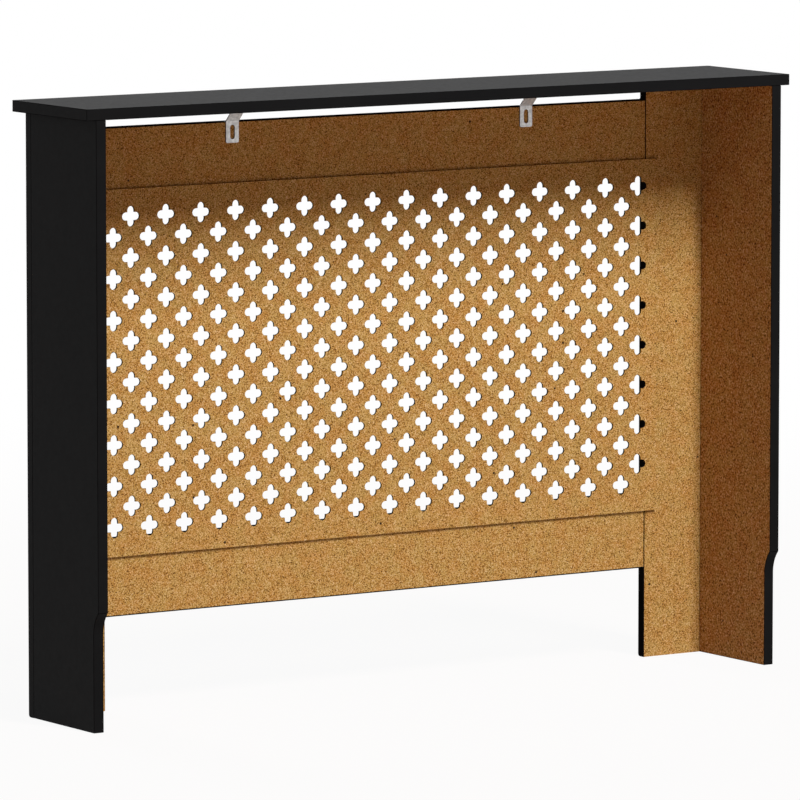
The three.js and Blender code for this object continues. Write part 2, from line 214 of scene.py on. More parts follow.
knot = add(
    fibre_group,
    "MapRange",
    {"Value": knots.outputs["Distance"], "From Min": inner, "From Max": reach, "To Min": 1, "To Max": 0},
)
fibre_group.links.new(knot.outputs["Result"], g_out["Knot"])
fine = sums(fibre_group, "MULTIPLY", chip_scale, NAP_FINENESS)
nap = add(fibre_group, "TexNoise", {"Vector": g_in["Place"], "Scale": fine, "Detail": 2})
fibre_group.links.new(nap.outputs[0], g_out["Nap"])


def fibreboard(name, chip_size, tans):
    """Raw fibreboard, with chips of the given size and a ground between two tans."""
    material, tree, surface, place = new_finish(name)
    sockets = {"Place": place, "Chip Size": chip_size, "Knot Radius": KNOT_RADIUS}
    pressed = use_group(tree, fibre_group, sockets)
    tan = blend(tree, step_between(tree, pressed["Cloud"], *CLOUD_RAMP), *tans)
    browned = blend(tree, step_between(tree, pressed["Chip"], *BROWN_RAMP), CHIP_BROWN, tan)
    speckled = blend(tree, step_between(tree, pressed["Chip"], *PALE_RAMP), browned, CHIP_PALE)
    sockets = {"Strength": 0.35, "Distance": NAP_DEPTH, "Height": pressed["Nap"]}
    bump = add(tree, "Bump", sockets)
    sockets = {
        "Base Color": blend(tree, pressed["Knot"], speckled, KNOT_BROWN),
        "Roughness": RAW_ROUGHNESS,
        "Specular IOR Level": RAW_SHEEN_LEVEL,
        "Normal": bump.outputs["Normal"],
    }
    tree.links.new(add(tree, "BsdfPrincipled", sockets).outputs[0], surface)
    return material


raw = fibreboard("raw_fibreboard", CHIP_SIZE, (BOARD_TAN, BOARD_OCHRE))
# A coarser-chipped board whose darker, redder tans are painted shade for shaded inner faces.
coarse_shaded_tans = (COARSE_SHADED_TAN, COARSE_SHADED_OCHRE)
coarse_shaded_raw = fibreboard("raw_fibreboard_coarse_shaded", COARSE_CHIP_SIZE, coarse_shaded_tans)


def new_piece(name, points, faces, finishes, materials):
    """A piece from its points and faces, with the number of each face's finish."""
    mesh = bpy.data.meshes.new(name)
    mesh.from_pydata(np.asarray(points).tolist(), [], faces)
    for material in materials:
        mesh.materials.append(material)
    mesh.polygons.foreach_set("material_index", np.asarray(finishes, dtype=np.int32))
    mesh.shade_smooth()
    mesh.set_sharp_from_angle(angle=SHARP_ANGLE)
    piece = bpy.data.objects.new(name, mesh)
    bpy.context.scene.collection.objects.link(piece)
    return piece


def rounded_outline(low, high, radii, steps=CORNER_STEPS):
    """A rectangle from low to high with one radius per corner, anticlockwise from the low one.
    Corner k is the arc centre + r (cos a, sin a), with a from (k + 2) quarter turns to (k + 3)."""
    radii = np.asarray(radii, dtype=float)[..., None]
    (x0, y0), (x1, y1) = low, high
    corner = np.array([[x0, y0], [x1, y0], [x1, y1], [x0, y1]])
    inward = np.array([[1, 1], [-1, 1], [-1, -1], [1, -1]])
    centre = corner + inward * radii
    quarter = math.pi / 2
    angle = (np.arange(4)[:, None] + 2) * quarter + np.linspace(0, quarter, steps + 1)
    arc = np.stack([np.cos(angle), np.sin(angle)], axis=-1)
    points = centre[..., None, :] + radii[..., None] * arc
    return points.reshape(*points.shape[:-3], -1, 2)


def carried(sections, stations, turn):
    """Sections of equal length carried along a line: point j of section i is (u, v) at
    station i, and turn gives the cabinet axes of u, v and the line. Returns the points and
    the strips of faces between the sections, one row of quads for each step."""
    sections = np.asarray(sections, dtype=float)
    count = sections.shape[1]
    along = np.broadcast_to(np.asarray(stations, dtype=float)[:, None, None], (*sections.shape[:2], 1))
    flat = np.concatenate([sections, along], axis=2).reshape(-1, 3)
    points = np.empty_like(flat)
    points[:, list(turn)] = flat
    here = np.arange(count)
    beside = (here + 1) % count
    rows = np.arange(len(sections) - 1)[:, None] * count
    strips = np.stack([rows + here, rows + beside, rows + beside + count, rows + here + count], axis=-1)
    return points, strips.reshape(-1, 4).tolist()


def soften(piece, width=ARRIS, finish=EDGE):
    """A small arris on every sharp edge, in its own finish, and normals that keep wide faces flat."""
    if width:
        arris = piece.modifiers.new("arris", "BEVEL")
        arris.width = width
        arris.segments = ARRIS_STEPS
        arris.limit_method = "ANGLE"
        arris.angle_limit = SHARP_ANGLE
        arris.material = finish
    even = piece.modifiers.new("even_normals", "WEIGHTED_NORMAL")
    even.keep_sharp = not width


low, high = (np.array(corner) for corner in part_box("top_panel"))
bay_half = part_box("side_panel_right")[0].x
bay_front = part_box("side_panel_right")[0].y
rounded = rounded_outline(low[:2], high[:2], [TOP_CORNER_RADIUS] * 4)
front_corners = rounded[: 2 * (CORNER_STEPS + 1)]
back_x = np.array([high[0], bay_half, -bay_half, low[0]])
back_line = np.stack([back_x, np.full(4, high[1])], axis=1)
outline = np.concatenate([front_corners, back_line])
right = len(front_corners) + 1
left = right + 1
points, strips = carried([outline, outline], [low[2], high[2]], (0, 1, 2))
count = len(outline)
inside = np.array([[-bay_half, bay_front, low[2]], [bay_half, bay_front, low[2]]])
points = np.concatenate([points, inside])
front_left, front_right = 2 * count, 2 * count + 1
bay_ceiling = [right, front_right, front_left, left]
rim = [*range(left, count), *range(right + 1)]
overhang = [front_left, front_right, *reversed(rim)]
top_face = list(range(count, 2 * count))
top_panel = new_piece(
    "top_panel_board",
    points,
    [*strips, top_face, overhang, bay_ceiling],
    [PAINTED] * (len(strips) + 2) + [RAW],
    [painted, coarse_shaded_raw, edge_paint],
)
soften(top_panel)
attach(top_panel, "root")
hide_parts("top_panel")


# ---------------------------------------------------------------------------------------------
# Side panels: two 15 mm boards of coarser fibre, cut out at the lower back to clear a skirting
# board, with an arc above the cut. Outer faces and all edges are black; the inner face is raw,
# in darker, redder tans that are painted shade.

SKIRTING_CUT_DEPTH = 12 * MM
SKIRTING_CUT_HEIGHT = 128 * MM
SKIRTING_CUT_RADIUS = 45 * MM
SKIRTING_STEPS = 16


def side_outline(low, high):
    """The panel's outline in Y and Z: the skirting arc is centre + R (cos a, sin a), from half
    a turn back to where it meets the back edge, and the other corners are square."""
    sweep = math.acos(1 - SKIRTING_CUT_DEPTH / SKIRTING_CUT_RADIUS)
    angle = math.pi - np.linspace(0, sweep, SKIRTING_STEPS + 1)
    cut_y = high[1] - SKIRTING_CUT_DEPTH
    centre = np.array([cut_y + SKIRTING_CUT_RADIUS, SKIRTING_CUT_HEIGHT])
    arc = centre + SKIRTING_CUT_RADIUS * np.stack([np.cos(angle), np.sin(angle)], axis=1)
    before = [[low[1], low[2]], [cut_y, low[2]]]
    after = [[high[1], high[2]], [low[1], high[2]]]
    return np.concatenate([before, arc, after])


for side, sign in (("left", -1), ("right", 1)):
    low, high = (np.array(corner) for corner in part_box(f"side_panel_{side}"))
    outline = side_outline(low, high)
    points, strips = carried([outline, outline], [low[0], high[0]], (1, 2, 0))
    count = len(outline)
    faces = [*strips, list(range(count))[::-1], list(range(count, 2 * count))]
    caps = [RAW, PAINTED] if sign > 0 else [PAINTED, RAW]
    finishes = [PAINTED] * len(strips) + caps
    # The raw inner face takes the coarse board, whose darker, redder tans are painted shade.
    materials = [painted, coarse_shaded_raw, edge_paint]
    panel = new_piece(f"side_panel_{side}_board", points, faces, finishes, materials)
    soften(panel)
    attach(panel, "root")
    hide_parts(f"side_panel_{side}")


# ---------------------------------------------------------------------------------------------
# Front frame: two stiles and two rails of the same board, dowelled and glued edge to edge. Their
# front edges are rounded over with a 3 mm bit wherever the front is open, and more at the
# stiles' feet. Matt black edge paint covers the edges, and the backs are raw.

ROUND_OVER = 3 * MM
TOE_RADIUS = 7 * MM
JOINT_ARRIS = 0.5 * MM
BACK_ARRIS = 1.0 * MM
OUTER_ARRIS = 0.3 * MM
RAIL_ARRIS = 1.8 * MM
END_ARRIS = 0.7 * MM
BIT_RUN_OUT = 1.5 * MM

opening_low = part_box("bottom_rail")[1].z
opening_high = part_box("top_rail")[0].z
floor_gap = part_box("bottom_rail")[0].z
heat_slot_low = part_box("top_rail")[1].z
toe_angle = np.linspace(0, math.pi / 2, CORNER_STEPS + 1)
toe_rise = TOE_RADIUS * (1 - np.cos(toe_angle))
toe_inset = TOE_RADIUS * (1 - np.sin(toe_angle))


def frame_board(name, sections, stations, turn, sides):
    """A rounded board, its sections carried along it. For each step along the board, sides has
    the finish of its four sides, and a rounded corner beside a raw side has edge paint."""
    points, strips = carried(sections, stations, turn)
    sides = np.array(sides)
    by_raw = (sides == RAW) | (np.roll(sides, 1, axis=1) == RAW)
    corners = np.where(by_raw, EDGE, PAINTED)[..., None].repeat(CORNER_STEPS, axis=2)
    finishes = np.concatenate([corners, sides[..., None]], axis=2).ravel()
    count = sections.shape[1]
    last = len(points) - count
    faces = [*strips, list(range(count))[::-1], list(range(last, last + count))]
    finishes = np.append(finishes, [EDGE, EDGE])
    board = new_piece(f"{name}_board", points, faces, finishes, [painted, raw, edge_paint])
    soften(board, 0)
    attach(board, "root")
    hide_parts(name)


for side, sign in (("left", -1), ("right", 1)):
    low, high = (np.array(corner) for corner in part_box(f"stile_{side}"))
    edges = [floor_gap, opening_low, opening_high, heat_slot_low]
    ends = [[edge - BIT_RUN_OUT, edge + BIT_RUN_OUT] for edge in edges]
    stations = np.concatenate([low[2] + toe_rise, np.ravel(ends), high[2:]])
    inner = np.repeat([ROUND_OVER, JOINT_ARRIS, ROUND_OVER, JOINT_ARRIS, ROUND_OVER], 2)
    inner = np.concatenate([np.full(CORNER_STEPS, ROUND_OVER), inner])
    outer = np.full_like(inner, ROUND_OVER)
    inner_back, outer_back = np.full_like(inner, BACK_ARRIS), np.full_like(inner, OUTER_ARRIS)
    if sign > 0:
        radii = np.stack([inner, outer, outer_back, inner_back], axis=1)
        sides = [PAINTED, PAINTED, RAW, EDGE]
    else:
        radii = np.stack([outer, inner, inner_back, outer_back], axis=1)
        sides = [PAINTED, EDGE, RAW, PAINTED]
    sections = rounded_outline(low[:2], high[:2], radii)
    toes = sections[: CORNER_STEPS + 1, :, 1]
    np.maximum(toes, low[1] + toe_inset[:, None], out=toes)
    frame_board(f"stile_{side}", sections, stations, (0, 1, 2), [sides] * (len(stations) - 1))

for rail in ("top_rail", "bottom_rail"):
    low, high = (np.array(corner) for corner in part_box(rail))
    radii = [ROUND_OVER, RAIL_ARRIS, RAIL_ARRIS, ROUND_OVER]
    section = rounded_outline(low[1:], high[1:], radii)
    end = rounded_outline(low[1:] + END_ARRIS, high[1:] - END_ARRIS, radii)
    stations = [low[0], low[0] + END_ARRIS, high[0] - END_ARRIS, high[0]]
    sides = [[EDGE] * 4, [EDGE, RAW, EDGE, PAINTED], [EDGE] * 4]
    frame_board(rail, np.stack([end, section, section, end]), stations, (1, 2, 0), sides)


# ---------------------------------------------------------------------------------------------
# Grille panel: a 3 mm hardboard sheet, glued on the back of the frame. A press has punched 256
# openings of four round lobes in it, on every second crossing of 32 columns and 16 rows. The
# front and the cut edges are black from the spray gun, and the back is raw.

FOIL_SPAN = 27.5 * MM
FOIL_ARM_WIDTH = 11 * MM
LOBE_STEPS = 3
COLUMNS, ROWS = 32, 16
SIDE_POINTS = 2 * (LOBE_STEPS + 1)

panel_low, panel_high = (np.array(corner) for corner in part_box("grille_panel"))
left_x, low_z = panel_low[0], panel_low[2]
right_x, high_z = panel_high[0], panel_high[2]
opening_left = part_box("stile_left")[1].x
opening_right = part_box("stile_right")[0].x
column_x = np.linspace(opening_left + FOIL_SPAN / 2, opening_right - FOIL_SPAN / 2, COLUMNS)
row_z = np.linspace(opening_low + FOIL_SPAN / 2, opening_high - FOIL_SPAN / 2, ROWS)
step_x, step_z = column_x[1] - column_x[0], row_z[1] - row_z[0]


def foil_outline():
    """One opening, anticlockwise: in each quarter, half a lobe end at centre + r (cos a, sin a),
    the inner corner where two arms meet, and half of the next lobe end."""
    r = FOIL_ARM_WIDTH / 2
    angle = np.linspace(0, math.pi / 2, LOBE_STEPS + 1)
    lobe = np.stack([FOIL_SPAN / 2 - r + r * np.cos(angle), r * np.sin(angle)], axis=1)
    quarter = np.concatenate([lobe, [[r, r]], lobe[:0:-1, ::-1]])
    turn = np.array([[0.0, 1.0], [-1.0, 0.0]])
    return np.concatenate([quarter @ np.linalg.matrix_power(turn, k) for k in range(4)])


def diamond_outline():
    """The diamond whose corners lie on the four crossings round an opening, with as many points
    as the opening: corner k + share (corner k + 1 - corner k)."""
    tips = np.array([[step_x, 0], [0, step_z], [-step_x, 0], [0, -step_z]])
    share = np.arange(SIDE_POINTS)[:, None] / SIDE_POINTS
    return np.concatenate([tips[k] + share * (tips[(k + 1) % 4] - tips[k]) for k in range(4)])


def ribbon(first, second, start):
    """The quads between two lines of points, with the second on the left of the first."""
    i = np.arange(len(first) - 1) + start
    j = i + len(first)
    return np.concatenate([first, second]), np.stack([i, i + 1, j + 1, j], axis=1)


def zigzag(crossings, odd, base, reach, edge):
    """The outline that the diamonds leave along one border, and the panel edge beside it, each
    with SIDE_POINTS steps from crossing to crossing."""
    steps = np.arange((len(crossings) - 1) * SIDE_POINTS + 1) / SIDE_POINTS
    fine = np.interp(steps, np.arange(len(crossings)), crossings)
    corners = base + reach * (np.arange(len(crossings)) % 2 == odd)
    inner = np.stack([fine, np.interp(fine, crossings, corners)], axis=1)
    return inner, np.stack([fine, np.full(len(fine), edge)], axis=1)


def merged(parts):
    """Groups of faces over one list of points, in which points that meet have become one."""
    points = np.round(np.concatenate([points for points, _ in parts]), 7)
    starts = np.cumsum([0] + [len(points) for points, _ in parts[:-1]])
    points, index = np.unique(points, axis=0, return_inverse=True)
    return points, [index.ravel()[faces + start] for (_, faces), start in zip(parts, starts)]


def thick_sheet(groups, first, second):
    """A sheet between two layers of the same points: its faces on the first layer, the same
    faces turned round on the second, and a wall along each edge that only one face has."""
    count = len(first)
    edges = [np.stack([group, np.roll(group, -1, axis=1)], axis=-1) for group in groups]
    edges = np.concatenate([pairs.reshape(-1, 2) for pairs in edges])
    a, b = edges[:, 0], edges[:, 1]
    rim = edges[~np.isin(a * count + b, b * count + a)]
    walls = np.stack([rim[:, 0] + count, rim[:, 1] + count, rim[:, 1], rim[:, 0]], axis=1)
    near = [face for group in groups for face in group.tolist()]
    far = [face for group in groups for face in (group[:, ::-1] + count).tolist()]
    return np.concatenate([first, second]), near, far, walls.tolist()


foil, diamond = foil_outline(), diamond_outline()
column, row = np.meshgrid(np.arange(COLUMNS), np.arange(ROWS), indexing="ij")
punched = (row + column) % 2 == 1
centres = np.stack([column_x[column[punched]], row_z[row[punched]]], axis=1)
here = np.arange(len(foil))
beside = np.roll(here, -1)
ring = np.stack([here, here + len(foil), beside + len(foil), beside], axis=1)
cells = (centres[:, None, None] + np.stack([foil, diamond])).reshape(-1, 2)
cell_starts = np.arange(len(centres))[:, None, None] * 2 * len(foil)
low_inner, low_edge = zigzag(column_x, 1, row_z[0], -step_z, low_z)
high_inner, high_edge = zigzag(column_x, 0, row_z[-1], step_z, high_z)
left_inner, left_edge = (line[:, ::-1] for line in zigzag(row_z, 1, column_x[0], -step_x, left_x))
right_inner, right_edge = (line[:, ::-1] for line in zigzag(row_z, 0, column_x[-1], step_x, right_x))
diamond_side = diamond.reshape(4, SIDE_POINTS, 2)
corners = [
    [[left_x, low_z], [column_x[0], low_z], [column_x[0], row_z[0]], [left_x, row_z[0]]],
    [[column_x[-1], row_z[-1]], [right_x, row_z[-1]], [right_x, high_z], [column_x[-1], high_z]],
    [
        [column_x[-1], low_z],
        [right_x, low_z],
        [right_x, row_z[0]],
        [column_x[-1] + step_x, row_z[0]],
        *(diamond_side[3, ::-1] + [column_x[-1], row_z[0]]),
    ],
    [
        [column_x[0], high_z],
        [left_x, high_z],
        [left_x, row_z[-1]],
        [column_x[0] - step_x, row_z[-1]],
        *(diamond_side[1, ::-1] + [column_x[0], row_z[-1]]),
    ],
]
flat, groups = merged(
    [
        (cells, (cell_starts + ring).reshape(-1, 4)),
        ribbon(low_edge, low_inner, 0),
        ribbon(high_inner, high_edge, 0),
        ribbon(left_inner, left_edge, 0),
        ribbon(right_edge, right_inner, 0),
        *((np.array(corner), np.arange(len(corner))[None]) for corner in corners),
    ]
)
front = np.insert(flat, 1, panel_low[1], axis=1)
back = np.insert(flat, 1, panel_high[1], axis=1)
points, front_faces, back_faces, walls = thick_sheet(groups, front, back)
finishes = [PAINTED] * len(front_faces) + [RAW] * len(back_faces) + [EDGE] * len(walls)
faces = front_faces + back_faces + walls
grille = new_piece("grille_panel_sheet", points, faces, finishes, [painted, raw, edge_paint])
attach(grille, "root")
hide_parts("grille_panel")


# ---------------------------------------------------------------------------------------------
# Brackets: two zinc-plated steel strips, each bent twice. The lower leg lies on the top rail,
# the web leans back across the heat slot, and the upper leg is screwed under the top panel.
# Each leg has a long slot and two rounded corners. Its cut edges and slot walls are dark: bare
# steel where the press cut it, and painted shade in the slots and along the strip's edges.

STRIP_THICKNESS = 2 * MM
LEG_LENGTH = 29 * MM
LEAN = math.pi / 4
BEND_RADIUS = 2.5 * MM
BEND_STEPS = 7
SLOT_WIDTH = 7 * MM
SLOT_LENGTH = 19 * MM
STRIP_CORNER_RADIUS = 2 * MM
JOIN_INSET = 2 * MM
PATH_SAMPLES = 2000
POINTS_ACROSS = 9
STRIP_ARRIS = 0.25 * MM
GRAIN_SIZE = 0.35 * MM
ROLLED_STRETCH = (1.0, 0.08, 0.08)
BLOOM_PER_METRE = 260
ZINC_METALLIC = 0.85

ZINC_BRIGHT = (0.68, 0.675, 0.665, 1)
ZINC_DULL = (0.48, 0.478, 0.475, 1)
# Cut-edge tones: bare steel, made darker as painted shade in the slots and along the edges.
SHEARED_SHADED_PALE = (0.13, 0.13, 0.135, 1)
SHEARED_SHADED_DARK = (0.06, 0.06, 0.065, 1)
PLATED, SHEARED_SHADED = 0, 1

# Zinc plate: Grain is the fine rolled streaks of the strip, and Bloom the cloudy patches of the
# plating over them.
zinc_group, g_in, g_out = new_group(
    "zinc plating",
    [("Place", "Vector", (0, 0, 0)), ("Grain Size", "Float", 0.0005)],
    [("Grain", "Float"), ("Bloom", "Float")],
)
rolled = add(zinc_group, "Mapping", {"Vector": g_in["Place"], "Scale": ROLLED_STRETCH})
grain_scale = sums(zinc_group, "DIVIDE", 1.0, g_in["Grain Size"])
grain = add(zinc_group, "TexNoise", {"Vector": rolled.outputs[0], "Scale": grain_scale, "Detail": 2})
zinc_group.links.new(grain.outputs[0], g_out["Grain"])
bloom = add(zinc_group, "TexNoise", {"Vector": g_in["Place"], "Scale": BLOOM_PER_METRE, "Detail": 3})
zinc_group.links.new(bloom.outputs[0], g_out["Bloom"])


def steel(name, dull, bright, matt_low, matt_high):
    """Rolled steel between two tones, whose roughness runs between the two given values."""
    material, tree, surface, place = new_finish(name)
    plating = use_group(tree, zinc_group, {"Place": place, "Grain Size": GRAIN_SIZE})
    matt = add(tree, "MapRange", {"Value": plating["Grain"], "To Min": matt_low, "To Max": matt_high})
    bump = add(tree, "Bump", {"Strength": 0.2, "Distance": 0.02 * MM, "Height": plating["Grain"]})
    sockets = {
        "Base Color": blend(tree, step_between(tree, plating["Bloom"], 0.3, 0.7), dull, bright),
        "Metallic": ZINC_METALLIC,
        "Roughness": matt.outputs["Result"],
        "Normal": bump.outputs["Normal"],
    }
    tree.links.new(add(tree, "BsdfPrincipled", sockets).outputs[0], surface)
    return material


zinc = steel("zinc_plated_steel", ZINC_DULL, ZINC_BRIGHT, 0.38, 0.55)
# Dark cut edges: bare steel plus painted shade in the slots and along the strip's edges.
sheared_shaded = steel("sheared_shaded_steel_edge", SHEARED_SHADED_DARK, SHEARED_SHADED_PALE, 0.6, 0.75)


def leg_ring(width, inset):
    """One leg round its slot's middle: the outer line runs over the join, down one side, round
    the free end and back, and each inner point lies on the slot in the same direction."""
    half, r = width / 2, STRIP_CORNER_RADIUS
    end, join = -LEG_LENGTH / 2, LEG_LENGTH / 2 - inset
    across = np.linspace(-half, half, POINTS_ACROSS)
    sides = np.linspace(join, end + r, 5)[1:]
    bend = np.linspace(0, math.pi / 2, 4)[1:]
    over_join = np.stack([np.full(POINTS_ACROSS, join), across], axis=1)
    down = np.stack([sides, np.full(4, half)], axis=1)
    corner = np.stack([end + r - r * np.sin(bend), half - r + r * np.cos(bend)], axis=1)
    end_line = np.stack([np.full(4, end), (half - r) * np.array([0.75, 0.5, 0.25, 0])], axis=1)
    upper = np.concatenate([down, corner, end_line])
    lower = upper[-2::-1] * [1, -1]
    outer = np.concatenate([over_join, upper, lower])
    angle = np.arctan2(outer[:, 1], outer[:, 0])
    cos, sin = np.cos(angle), np.sin(angle)
    r, run = SLOT_WIDTH / 2, (SLOT_LENGTH - SLOT_WIDTH) / 2
    to_side = r / np.maximum(np.abs(sin), 1e-9)
    to_end = run * np.abs(cos) + np.sqrt(np.maximum(r**2 - (run * sin) ** 2, 0))
    reach = np.where(to_side * np.abs(cos) <= run, to_side, to_end)
    inner = reach[:, None] * np.stack([cos, sin], axis=1)
    i = np.arange(len(outer))
    j = np.roll(i, -1)
    return np.concatenate([outer, inner]), np.stack([i, j, j + len(i), i + len(i)], axis=1)


def bend_marks(low, high):
    """Where the strip's straights and bends start and end, as lengths along its middle line. The
    web is as long as its rise over the sine of its lean, less a setback at each bend."""
    setback = BEND_RADIUS * math.tan(LEAN / 2)
    rise = high[2] - STRIP_THICKNESS / 2 - (low[2] + LEG_LENGTH)
    straight = LEG_LENGTH - setback
    turn = BEND_RADIUS * LEAN
    web = rise / math.sin(LEAN) - 2 * setback
    return np.cumsum([0, straight, turn, web, turn, straight])


def bent(flat, low, marks, middle_x, depth):
    """The flat strip wrapped on its bent line. The line's heading turns evenly through each
    bend, its place is the sum of its heading over its length, and depth moves it sideways."""
    s = np.linspace(0, marks[-1], PATH_SAMPLES)
    heading = np.interp(s, marks, [2 * LEAN, 2 * LEAN, LEAN, LEAN, 0, 0])
    middle = (heading[1:] + heading[:-1]) / 2
    steps = np.diff(s)[:, None] * np.stack([np.cos(middle), np.sin(middle)], axis=1)
    start = [low[1] + STRIP_THICKNESS / 2, low[2]]
    line = start + np.concatenate([[[0, 0]], np.cumsum(steps, axis=0)])
    u = flat[:, 0]
    at = np.interp(u, s, heading)
    y = np.interp(u, s, line[:, 0]) - depth * np.sin(at)
    z = np.interp(u, s, line[:, 1]) + depth * np.cos(at)
    return np.stack([middle_x + flat[:, 1], y, z], axis=1)


for side in ("left", "right"):
    low, high = (np.array(corner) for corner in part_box(f"bracket_{side}"))
    width = high[0] - low[0]
    marks = bend_marks(low, high)
    bend_start, bend_end, length = marks[1], marks[2], marks[-1]
    ring_points, ring_faces = leg_ring(width, JOIN_INSET)
    lower_leg = ring_points + [LEG_LENGTH / 2, 0]
    upper_leg = [length - LEG_LENGTH / 2, 0] - ring_points
    bend = np.linspace(bend_start, bend_end, BEND_STEPS)
    join = LEG_LENGTH - JOIN_INSET
    along = np.concatenate([[join], bend, length - bend[::-1], [length - join]])
    across = np.linspace(-width / 2, width / 2, POINTS_ACROSS)
    web = np.stack(np.meshgrid(along, across, indexing="ij"), axis=-1).reshape(-1, 2)
    rows = np.arange(len(along) - 1) * POINTS_ACROSS
    i, j = np.meshgrid(rows, np.arange(POINTS_ACROSS - 1), indexing="ij")
    k = i + POINTS_ACROSS
    web_faces = np.stack([i + j, k + j, k + j + 1, i + j + 1], axis=-1).reshape(-1, 4)
    flat, groups = merged([(lower_leg, ring_faces), (upper_leg, ring_faces), (web, web_faces)])
    middle_x = (low[0] + high[0]) / 2
    half = STRIP_THICKNESS / 2
    layers = [bent(flat, low, marks, middle_x, depth) for depth in (-half, half)]
    points, near, far, walls = thick_sheet(groups, *layers)
    faces = near + far + walls
    # The walls take the dark cut-edge steel, partly painted shade in the slots and on the edges.
    finishes = [PLATED] * len(near + far) + [SHEARED_SHADED] * len(walls)
    bracket = new_piece(f"bracket_{side}_strip", points, faces, finishes, [zinc, sheared_shaded])
    soften(bracket, STRIP_ARRIS, PLATED)
    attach(bracket, "root")
    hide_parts(f"bracket_{side}")


# ---------------------------------------------------------------------------------------------
# Bracket screws: zinc-plated wood screws with a low domed head and a cross recess, driven up
# through each upper slot into the raw underside of the top panel.

HEAD_HEIGHT = 3 * MM
HEAD_RADIUS = 4.5 * MM
RECESS_RADIUS = 2.4 * MM
RECESS_WIDTH = 1.1 * MM
RECESS_DEPTH = 1.5 * MM
RECESS_FLANK = 0.3 * MM
RECESS_END = 0.5 * MM
THREAD_RADIUS = 2 * MM
CORE_RADIUS = 1.35 * MM
THREAD_PITCH = 1.6 * MM
RIDGE_STEEPNESS = 3.2
POINT_LENGTH = 3 * MM
POINT_TIP = 0.02
AROUND = 48
HEAD_RINGS = 18
THREAD_RINGS = 84


def screw_surface(low, high):
    """Rings round the screw's axis. Over the head, z drops by the height times cos a while the
    radius grows as sin a, less a cross-shaped recess; along the shank, the radius is the core
    plus a ridge that climbs one pitch each turn, and both shrink to the point."""
    angle = np.linspace(0, 2 * math.pi, AROUND, endpoint=False)
    a = np.linspace(0, math.pi / 2, HEAD_RINGS)[1:, None]
    radius = HEAD_RADIUS * np.sin(a) + 0 * angle
    x, y = radius * np.cos(angle), radius * np.sin(angle)
    near_arm = np.minimum(np.abs(x), np.abs(y)) - RECESS_WIDTH / 2
    in_arm = np.clip(0.5 - near_arm / RECESS_FLANK, 0, 1)
    inside = in_arm * np.clip((RECESS_RADIUS - radius) / RECESS_END, 0, 1)
    seat = low[2] + HEAD_HEIGHT
    z = seat - HEAD_HEIGHT * np.cos(a) + RECESS_DEPTH * inside
    head = np.stack([x, y, z], axis=-1)
    s = np.linspace(0, high[2] - seat, THREAD_RINGS)[:, None]
    climb = s / THREAD_PITCH - angle / (2 * math.pi)
    ridge = np.clip(1 - RIDGE_STEEPNESS * np.abs(climb - np.round(climb)), 0, 1)
    taper = np.clip((high[2] - seat - s) / POINT_LENGTH, POINT_TIP, 1)
    radius = (CORE_RADIUS + (THREAD_RADIUS - CORE_RADIUS) * ridge) * taper
    shank = np.stack([radius * np.cos(angle), radius * np.sin(angle), seat + s + 0 * angle], axis=-1)
    rings = np.concatenate([head, shank])
    rings[..., :2] += (low[:2] + high[:2]) / 2
    centre = (low[:2] + high[:2]) / 2
    poles = [[*centre, low[2] + RECESS_DEPTH], [*centre, high[2]]]
    return rings, poles


for side in ("left", "right"):
    low, high = (np.array(corner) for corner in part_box(f"bracket_screw_{side}"))
    rings, poles = screw_surface(low, high)
    count = len(rings)
    i, j = np.meshgrid(np.arange(count - 1) * AROUND, np.arange(AROUND), indexing="ij")
    k = (j + 1) % AROUND
    quads = np.stack([i + j, i + k, i + AROUND + k, i + AROUND + j], axis=-1).reshape(-1, 4)
    j = np.arange(AROUND)
    k = (j + 1) % AROUND
    last = (count - 1) * AROUND
    first_pole = np.full(AROUND, count * AROUND)
    head_fan = np.stack([first_pole, k, j], axis=1)
    point_fan = np.stack([first_pole + 1, last + j, last + k], axis=1)
    faces = quads.tolist() + head_fan.tolist() + point_fan.tolist()
    points = np.concatenate([rings.reshape(-1, 3), poles])
    screw = new_piece(f"bracket_screw_{side}_threaded", points, faces, [0] * len(faces), [zinc])
    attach(screw, "root")
    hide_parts(f"bracket_screw_{side}")


# ---------------------------------------------------------------------------------------------
# Dowels: twenty 8 x 30 mm beech pins, glued in their bores between the boards. They are the
# solids' own pieces, and only their wood is made here.

BEECH_PALE = (0.69, 0.47, 0.27, 1)
BEECH_DEEP = (0.50, 0.30, 0.15, 1)
RING_SIZE = 6 * MM
FLECKS_PER_METRE = 1800

beech_group, g_in, g_out = new_group(
    "beech grain",
    [("Place", "Vector", (0, 0, 0)), ("Ring Size", "Float", 0.001)],
    [("Rings", "Float"), ("Flecks", "Float")],
)
ring_scale = sums(beech_group, "DIVIDE", 1.0, g_in["Ring Size"])
rings = add(beech_group, "TexWave", {"Vector": g_in["Place"], "Scale": ring_scale, "Distortion": 3.0})
beech_group.links.new(rings.outputs["Fac"], g_out["Rings"])
flecks = add(beech_group, "TexNoise", {"Vector": g_in["Place"], "Scale": FLECKS_PER_METRE, "Detail": 2})
beech_group.links.new(flecks.outputs[0], g_out["Flecks"])

beech, tree, surface, place = new_finish("raw_beech")
grain = use_group(tree, beech_group, {"Place": place, "Ring Size": RING_SIZE})
bump = add(tree, "Bump", {"Strength": 0.2, "Distance": 0.05 * MM, "Height": grain["Flecks"]})
skin = add(
    tree,
    "BsdfPrincipled",
    {
        "Base Color": blend(tree, grain["Rings"], BEECH_PALE, BEECH_DEEP),
        "Roughness": 0.7,
        "Normal": bump.outputs["Normal"],
    },
)
tree.links.new(skin.outputs[0], surface)

for name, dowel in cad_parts.items():
    if name.startswith("dowel_"):
        dowel.data.materials.clear()
        dowel.data.materials.append(beech)


# ---------------------------------------------------------------------------------------------
# Studio: a pale floor that fades into a white surround, a tall soft lamp high behind the
# cabinet, a weaker one low in front, and a long lens at the photograph's angle. Each lamp has
# its place, size, roll round its own axis, and level.

